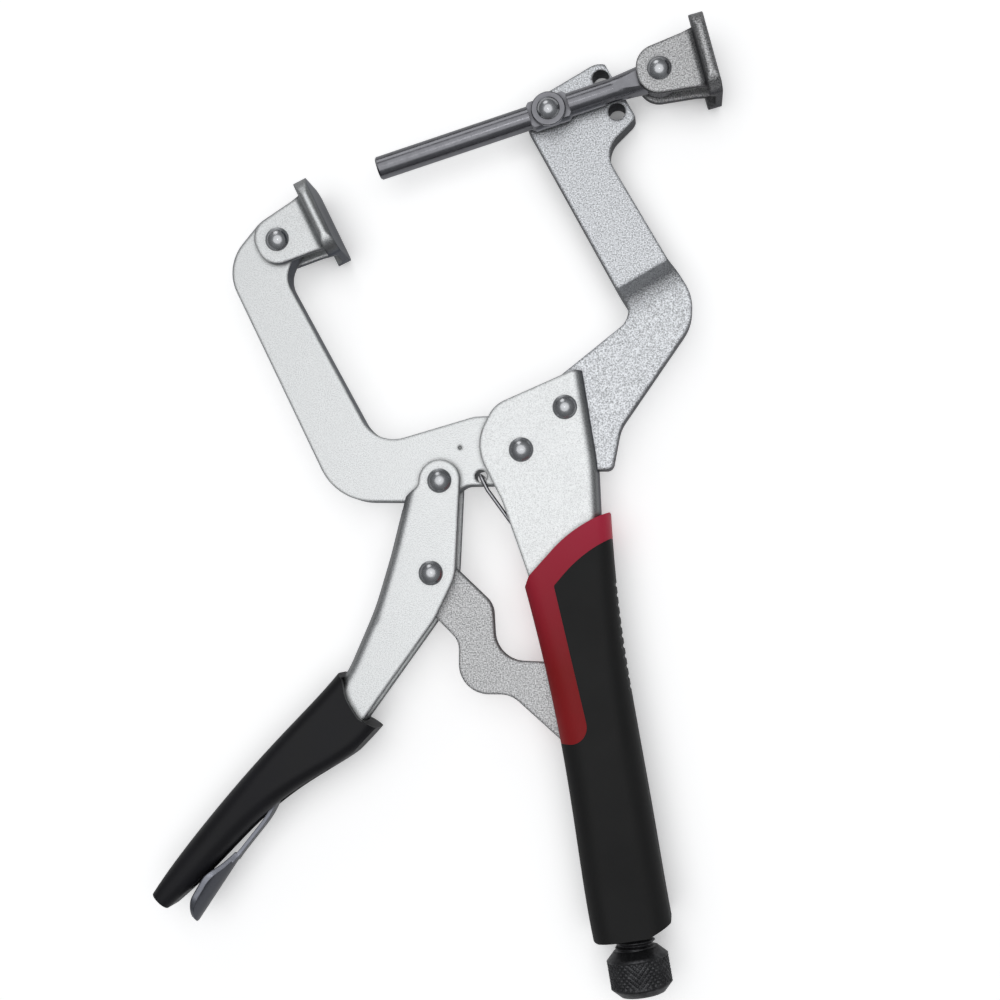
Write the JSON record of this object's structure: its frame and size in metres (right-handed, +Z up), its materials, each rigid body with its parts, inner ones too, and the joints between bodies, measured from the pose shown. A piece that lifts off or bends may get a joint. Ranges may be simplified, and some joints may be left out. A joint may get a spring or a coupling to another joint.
{
  "type": "locking c clamp",
  "caption": "Toggle-locking welding clamp with a wide C throat, a swinging rod and tilting pads.",
  "frame": {"origin": "middle of the footprint, on the surface the clamp lies on", "axes": "+Y from the knob towards the jaws, +X from the movable jaw towards the fixed jaw, +Z up along every pivot pin"},
  "size_m": [0.171, 0.2898, 0.0261],
  "materials": {
    "bright_plate": "fine blasted nickel plate",
    "blasted_plate": "coarse blasted nickel plate",
    "grey_plate": "coarse blasted dull plate",
    "rivet_steel": "polished dark steel",
    "rod_steel": "drawn bright steel",
    "release_steel": "plated strip",
    "spring_wire": "bright wire",
    "black_grip": "matt moulded elastomer",
    "red_grip": "matt moulded elastomer",
    "lever_rubber": "satin dipped vinyl",
    "black_oxide": "black oxide steel"
  },
  "bodies": {
    "handle": {"handle_channel": "bright_plate", "fixed_jaw": "blasted_plate", "fixed_jaw_rivet": "rivet_steel", "jaw_pivot_rivet": "rivet_steel", "spring_anchor_pin": "rivet_steel", "handle_grip_black": "black_grip", "handle_grip_red": "red_grip", "tension_spring": "spring_wire", "rod_pivot_rivet": "rivet_steel"},
    "movable_jaw": {"movable_jaw": "bright_plate"},
    "jaw_pad": {"jaw_pad": "bright_plate", "jaw_pad_rivet": "rivet_steel"},
    "lever": {"squeeze_lever": "bright_plate", "lever_grip": "lever_rubber", "lever_pivot_rivet": "rivet_steel", "link_pivot_rivet": "rivet_steel", "release_lever_pin": "rivet_steel"},
    "link": {"toggle_link": "grey_plate"},
    "release": {"release_lever": "release_steel"},
    "rod": {"swing_rod": "rod_steel", "rod_washer": "rod_steel"},
    "rod_pad": {"rod_pad": "grey_plate", "rod_pad_rivet": "rivet_steel"},
    "nose": {"screw_nose": "black_oxide"},
    "screw": {"adjusting_screw": "black_oxide"}
  },
  "joints": [
    {"name": "jaw_close", "type": "hinge", "parent": "handle", "child": "movable_jaw", "pos_m": [0.02532, 0.01502, 0.01307], "axis": [0, 0, -1], "range_deg": [0, 11], "stiffness_Nm_per_rad": 0.6, "springref_deg": -14.32, "deforming": ["tension_spring"]},
    {"name": "lever_squeeze", "type": "hinge", "parent": "movable_jaw", "child": "lever", "pos_m": [0.00082, 0.00602, 0.01307], "axis": [0, 0, 1], "range_deg": [0, 27.22]},
    {"name": "link_fold", "type": "hinge", "parent": "lever", "child": "link", "pos_m": [-0.00168, -0.02148, 0.01307], "axis": [0, 0, -1], "range_deg": [0, 22.63]},
    {"name": "release_press", "type": "hinge", "parent": "lever", "child": "release", "pos_m": [-0.03668, -0.07048, 0.01307], "axis": [0, 0, -1], "range_deg": [0, 1.5], "stiffness_Nm_per_rad": 0.8, "springref_deg": -1.72},
    {"name": "jaw_pad_swivel", "type": "hinge", "parent": "movable_jaw", "child": "jaw_pad", "pos_m": [-0.04918, 0.08002, 0.01307], "axis": [0, 0, 1], "range_deg": [-12, 12]},
    {"name": "rod_swing", "type": "hinge", "parent": "handle", "child": "rod", "pos_m": [0.03332, 0.11852, 0.01307], "axis": [0, 0, 1], "range_deg": [-30, 180]},
    {"name": "rod_pad_swivel", "type": "hinge", "parent": "rod", "child": "rod_pad", "pos_m": [0.06679, 0.12875, 0.01307], "axis": [0, 0, 1], "range_deg": [-12, 12]},
    {"name": "screw_travel", "type": "slide", "parent": "handle", "child": "nose", "axis": [0.165, -0.9863, 0], "range_m": [0, 0.0105]},
    {"name": "screw_turn", "type": "hinge", "parent": "nose", "child": "screw", "pos_m": [0.05825, -0.13085, 0.01307], "axis": [0.165, -0.9863, 0], "range_deg": [0, 2160]}
  ],
  "couplings": [
    {"joint": "lever_squeeze", "follows": "jaw_close", "ratio": 2.4737},
    {"joint": "link_fold", "follows": "jaw_close", "ratio": 2.0565},
    {"joint": "screw_turn", "follows": "screw_travel", "rad_per_m": 3590.4}
  ]
}
